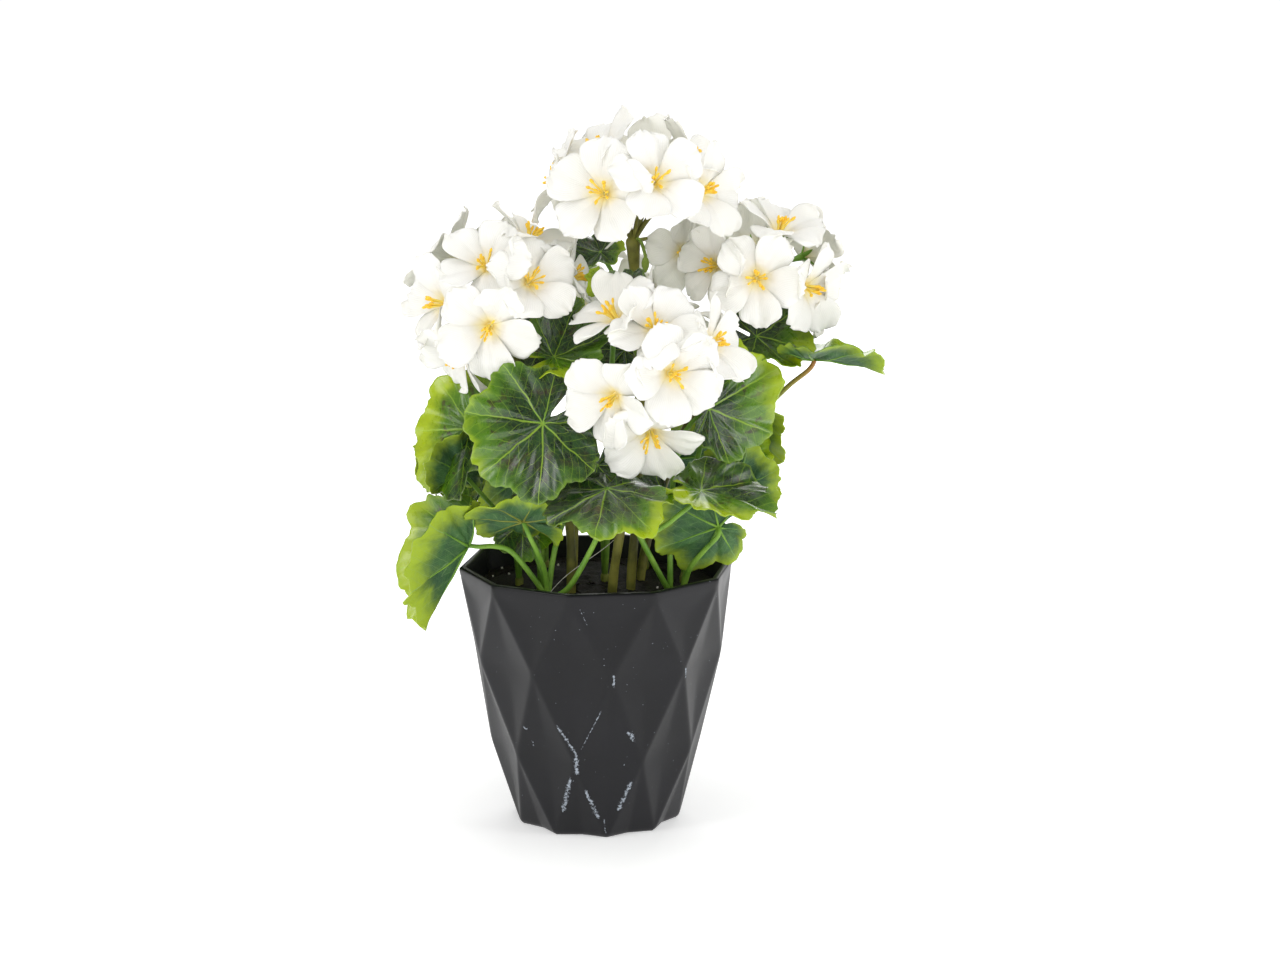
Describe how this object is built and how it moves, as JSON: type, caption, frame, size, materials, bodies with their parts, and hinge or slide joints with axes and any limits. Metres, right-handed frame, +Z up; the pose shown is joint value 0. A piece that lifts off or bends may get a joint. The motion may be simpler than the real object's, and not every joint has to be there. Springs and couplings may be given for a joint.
{
  "type": "potted geranium",
  "caption": "Potted artificial geranium: clusters of white silk blooms on branching stems over round lobed leaves, in a faceted black pot.",
  "frame": {"origin": "centre of the pot's flat underside", "axes": "+Z up along the pot's axis, -Y towards the front of the plant as the picture shows it"},
  "size_m": [0.2333, 0.1995, 0.3504],
  "materials": {
    "satin_black": "satin",
    "dark_soil": "matte",
    "olive_stem": "matte",
    "white_silk": "matte",
    "golden_stamen": "matte",
    "leaf_green": "satin"
  },
  "bodies": {
    "root": {"flower_head_back": "white_silk", "flower_head_front": "white_silk", "flower_head_left": "white_silk", "flower_head_right": "white_silk", "flower_head_top": "white_silk", "flower_stem_back": "olive_stem", "flower_stem_front": "olive_stem", "flower_stem_left": "olive_stem", "flower_stem_right": "olive_stem", "flower_stem_top": "olive_stem", "leaf_spray_back_left": "leaf_green", "leaf_spray_back_right": "leaf_green", "leaf_spray_front_left": "leaf_green", "leaf_spray_left": "leaf_green", "leaf_spray_left_back": "leaf_green", "leaf_spray_middle": "leaf_green", "leaf_spray_right": "leaf_green", "leaf_spray_right_back": "leaf_green", "leaf_spray_right_low": "leaf_green", "pot": "satin_black", "soil": "dark_soil", "stamens_back_1": "golden_stamen", "stamens_back_2": "golden_stamen", "stamens_back_3": "golden_stamen", "stamens_back_4": "golden_stamen", "stamens_back_5": "golden_stamen", "stamens_back_6": "golden_stamen", "stamens_front_1": "golden_stamen", "stamens_front_2": "golden_stamen", "stamens_front_3": "golden_stamen", "stamens_front_4": "golden_stamen", "stamens_front_5": "golden_stamen", "stamens_front_6": "golden_stamen", "stamens_front_7": "golden_stamen", "stamens_left_1": "golden_stamen", "stamens_left_2": "golden_stamen", "stamens_left_3": "golden_stamen", "stamens_left_4": "golden_stamen", "stamens_left_5": "golden_stamen", "stamens_left_6": "golden_stamen", "stamens_left_7": "golden_stamen", "stamens_left_8": "golden_stamen", "stamens_left_9": "golden_stamen", "stamens_right_1": "golden_stamen", "stamens_right_2": "golden_stamen", "stamens_right_3": "golden_stamen", "stamens_right_4": "golden_stamen", "stamens_right_5": "golden_stamen", "stamens_right_6": "golden_stamen", "stamens_right_7": "golden_stamen", "stamens_top_1": "golden_stamen", "stamens_top_10": "golden_stamen", "stamens_top_2": "golden_stamen", "stamens_top_3": "golden_stamen", "stamens_top_4": "golden_stamen", "stamens_top_5": "golden_stamen", "stamens_top_6": "golden_stamen", "stamens_top_7": "golden_stamen", "stamens_top_8": "golden_stamen", "stamens_top_9": "golden_stamen"}
  },
  "joints": []
}
